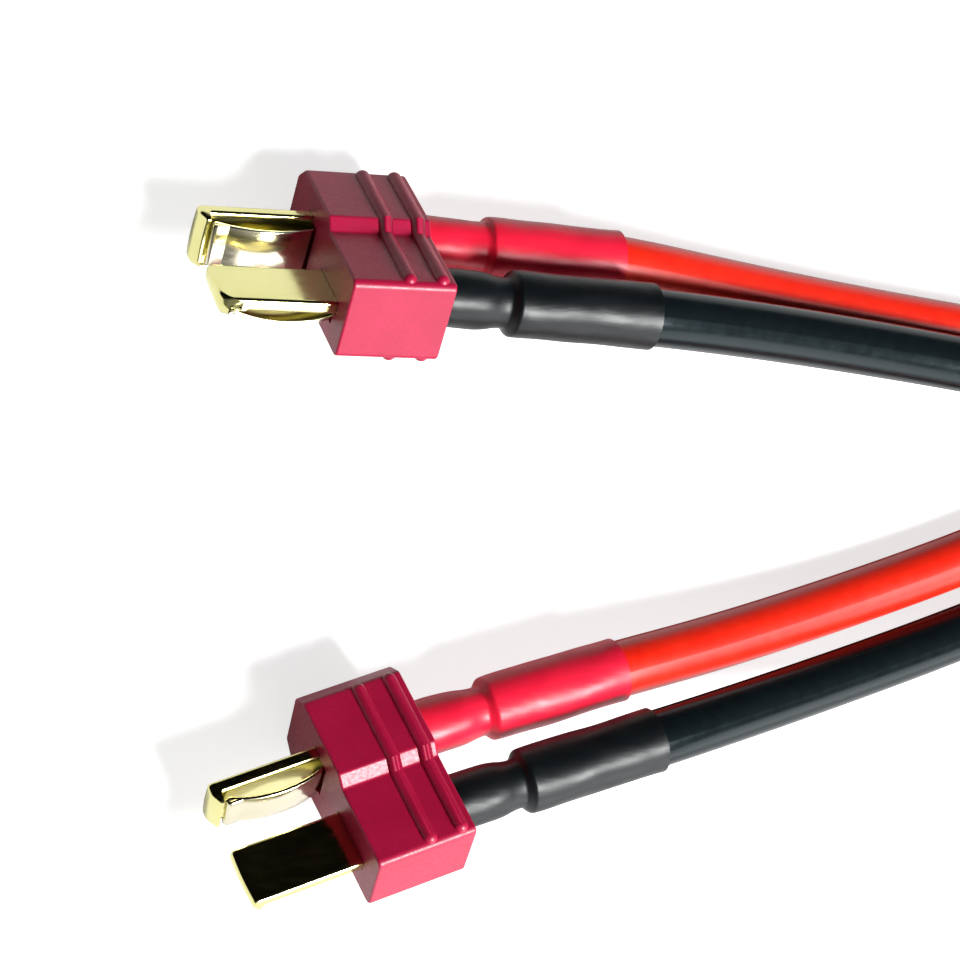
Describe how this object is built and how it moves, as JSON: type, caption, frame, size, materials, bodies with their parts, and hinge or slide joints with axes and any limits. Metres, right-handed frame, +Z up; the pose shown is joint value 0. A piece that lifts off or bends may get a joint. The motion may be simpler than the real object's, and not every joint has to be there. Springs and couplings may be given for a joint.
{
  "type": "parallel battery harness",
  "caption": "Wiring harness that joins T-shaped power plugs side by side to one matching socket through red and black silicone wires with heat-shrink over the joints.",
  "frame": {"origin": "on the ground under the middle of the connectors, at the centre of their footprint", "axes": "+X runs from the plugs to the socket, +Y is across the harness towards the first plug, +Z is up from the table"},
  "size_m": [0.143, 0.0579, 0.0167],
  "materials": {
    "housing": "satin moulded nylon, crimson",
    "contact": "gold-plated brass, bright",
    "leaf_spring": "gold-plated spring bronze, bright",
    "solder": "tin solder over tinned copper strands",
    "red_insulation": "glossy silicone rubber",
    "black_insulation": "glossy silicone rubber",
    "red_sleeve": "shrunk polyolefin tube",
    "black_sleeve": "shrunk polyolefin tube"
  },
  "bodies": {
    "harness": {"plug_a_housing": "housing", "plug_a_flat_blade": "contact", "plug_a_upright_blade": "contact", "plug_a_red_joint": "solder", "plug_a_black_joint": "solder", "plug_a_red_sleeve": "red_sleeve", "plug_a_black_sleeve": "black_sleeve", "plug_b_housing": "housing", "plug_b_flat_blade": "contact", "plug_b_upright_blade": "contact", "plug_b_red_joint": "solder", "plug_b_black_joint": "solder", "plug_b_red_sleeve": "red_sleeve", "plug_b_black_sleeve": "black_sleeve", "socket_housing": "housing", "socket_flat_contact": "contact", "socket_upright_contact": "contact", "socket_red_joint": "solder", "socket_black_joint": "solder", "socket_red_sleeve": "red_sleeve", "socket_black_sleeve": "black_sleeve", "wire_a_red": "red_insulation", "wire_a_black": "black_insulation", "wire_b_red": "red_insulation", "wire_b_black": "black_insulation"},
    "plug_a_flat_leaf_body": {"plug_a_flat_leaf": "leaf_spring"},
    "plug_a_upright_leaf_body": {"plug_a_upright_leaf": "leaf_spring"},
    "plug_b_flat_leaf_body": {"plug_b_flat_leaf": "leaf_spring"},
    "plug_b_upright_leaf_body": {"plug_b_upright_leaf": "leaf_spring"}
  },
  "joints": [
    {"name": "plug_a_flat_leaf_press", "type": "slide", "parent": "harness", "child": "plug_a_flat_leaf_body", "axis": [0, 0.829, 0.5592], "range_m": [0, 0.0002], "stiffness_N_per_m": 800},
    {"name": "plug_a_upright_leaf_press", "type": "slide", "parent": "harness", "child": "plug_a_upright_leaf_body", "axis": [0, 0.5592, -0.829], "range_m": [0, 0.0002], "stiffness_N_per_m": 800},
    {"name": "plug_b_flat_leaf_press", "type": "slide", "parent": "harness", "child": "plug_b_flat_leaf_body", "axis": [-0.1851, 0.5872, 0.788], "range_m": [0, 0.0002], "stiffness_N_per_m": 800},
    {"name": "plug_b_upright_leaf_press", "type": "slide", "parent": "harness", "child": "plug_b_upright_leaf_body", "axis": [-0.237, 0.7515, -0.6157], "range_m": [0, 0.0002], "stiffness_N_per_m": 800}
  ]
}
